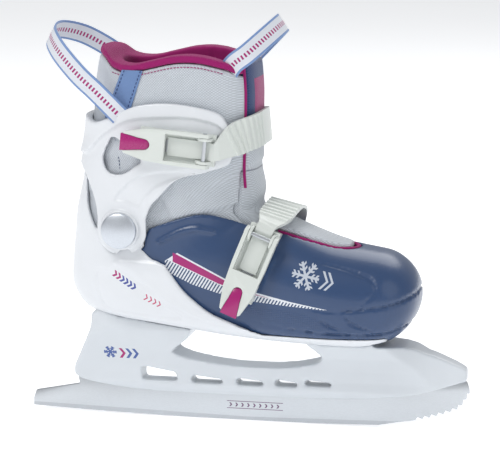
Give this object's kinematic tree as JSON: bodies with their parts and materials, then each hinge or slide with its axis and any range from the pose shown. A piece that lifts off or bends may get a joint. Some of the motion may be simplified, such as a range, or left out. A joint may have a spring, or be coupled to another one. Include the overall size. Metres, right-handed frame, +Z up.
{
  "type": "adjustable ice skate",
  "caption": "Right-foot recreational ice skate with a sliding toe shell, hinged ankle cuff, ratchet buckles, padded liner and a steel blade in a plastic holder.",
  "frame": {"origin": "middle of the flat stretch of the blade's running edge, on the blade's centre plane", "axes": "+X to the toe, +Y to the inner (medial) side of the right foot, +Z up; the blade's running edge faces -Z"},
  "size_m": [0.2958, 0.0991, 0.2705],
  "materials": {
    "blade_steel": "stainless steel, brushed flats and a ground edge",
    "holder_plastic": "white moulded plastic, satin",
    "shell_plastic": "white moulded plastic, satin",
    "toe_plastic": "slate blue moulded plastic, satin, with a textured lower band",
    "liner_mesh": "light grey padded mesh",
    "tongue_fabric": "light grey mesh, dark blue at the top",
    "collar_fabric": "magenta padded lining",
    "loop_webbing": "white woven webbing with blue edges and a magenta dashed line",
    "footbed_foam": "grey foam insole",
    "tab_plastic": "magenta moulded plastic",
    "button_plastic": "magenta moulded plastic",
    "buckle_plastic": "off-white moulded plastic",
    "hardware_steel": "plated steel"
  },
  "bodies": {
    "chassis": {"blade": "blade_steel", "blade_holder": "holder_plastic", "footbed": "footbed_foam", "heel_shell": "shell_plastic", "holder_screw_front_lateral": "hardware_steel", "holder_screw_front_medial": "hardware_steel", "holder_screw_rear_lateral": "hardware_steel", "holder_screw_rear_medial": "hardware_steel", "liner_lower": "liner_mesh", "pivot_bolt_lateral": "hardware_steel", "pivot_bolt_medial": "hardware_steel", "pivot_cap_lateral": "hardware_steel", "pivot_cap_medial": "hardware_steel", "pivot_washer_lateral": "hardware_steel", "pivot_washer_medial": "hardware_steel", "size_spring": "hardware_steel", "tongue_lower": "tongue_fabric"},
    "toe_section": {"instep_base": "buckle_plastic", "instep_base_rivet": "hardware_steel", "instep_pin": "hardware_steel", "instep_strap": "buckle_plastic", "instep_strap_rivet": "hardware_steel", "liner_toe": "liner_mesh", "toe_shell": "toe_plastic"},
    "ankle_cuff": {"collar_pad": "collar_fabric", "cuff": "shell_plastic", "front_loop": "loop_webbing", "liner_upper": "liner_mesh", "rear_loop": "loop_webbing", "tongue_upper": "tongue_fabric", "top_base": "buckle_plastic", "top_base_rivet": "hardware_steel", "top_pin": "hardware_steel", "top_strap": "buckle_plastic", "top_strap_rivet": "hardware_steel"},
    "top_lever_body": {"top_lever": "buckle_plastic", "top_tab_pin": "hardware_steel", "top_tab_spring": "hardware_steel"},
    "top_release_tab": {"top_tab": "tab_plastic"},
    "instep_lever_body": {"instep_lever": "buckle_plastic", "instep_tab_pin": "hardware_steel", "instep_tab_spring": "hardware_steel"},
    "instep_release_tab": {"instep_tab": "tab_plastic"},
    "size_button": {"size_button": "button_plastic", "size_latch": "hardware_steel"}
  },
  "joints": [
    {"name": "size_slide", "type": "slide", "parent": "chassis", "child": "toe_section", "axis": [1, 0, 0], "range_m": [0, 0.02]},
    {"name": "cuff_flex", "type": "hinge", "parent": "chassis", "child": "ankle_cuff", "pos_m": [-0.0765, 0, 0.132], "axis": [0, 1, 0], "range_deg": [-2, 12], "stiffness_Nm_per_rad": 12},
    {"name": "size_button_press", "type": "slide", "parent": "chassis", "child": "size_button", "axis": [0, -1, 0], "range_m": [0, 0.0016], "stiffness_N_per_m": 800},
    {"name": "top_lever_open", "type": "hinge", "parent": "ankle_cuff", "child": "top_lever_body", "pos_m": [-0.01845, -0.04859, 0.18648], "axis": [0.0989, 0, 0.9951], "range_deg": [0, 90]},
    {"name": "top_tab_release", "type": "hinge", "parent": "top_lever_body", "child": "top_release_tab", "pos_m": [-0.05228, -0.04923, 0.18984], "axis": [0.0989, 0, 0.9951], "range_deg": [0, 9], "stiffness_Nm_per_rad": 0.04},
    {"name": "instep_lever_open", "type": "hinge", "parent": "toe_section", "child": "instep_lever_body", "pos_m": [0.01734, -0.04151, 0.13108], "axis": [-0.9305, 0.0113, 0.3661], "range_deg": [0, 90]},
    {"name": "instep_tab_release", "type": "hinge", "parent": "instep_lever_body", "child": "instep_release_tab", "pos_m": [0.00497, -0.0464, 0.09979], "axis": [-0.9305, 0.0113, 0.3661], "range_deg": [0, 9], "stiffness_Nm_per_rad": 0.04}
  ]
}
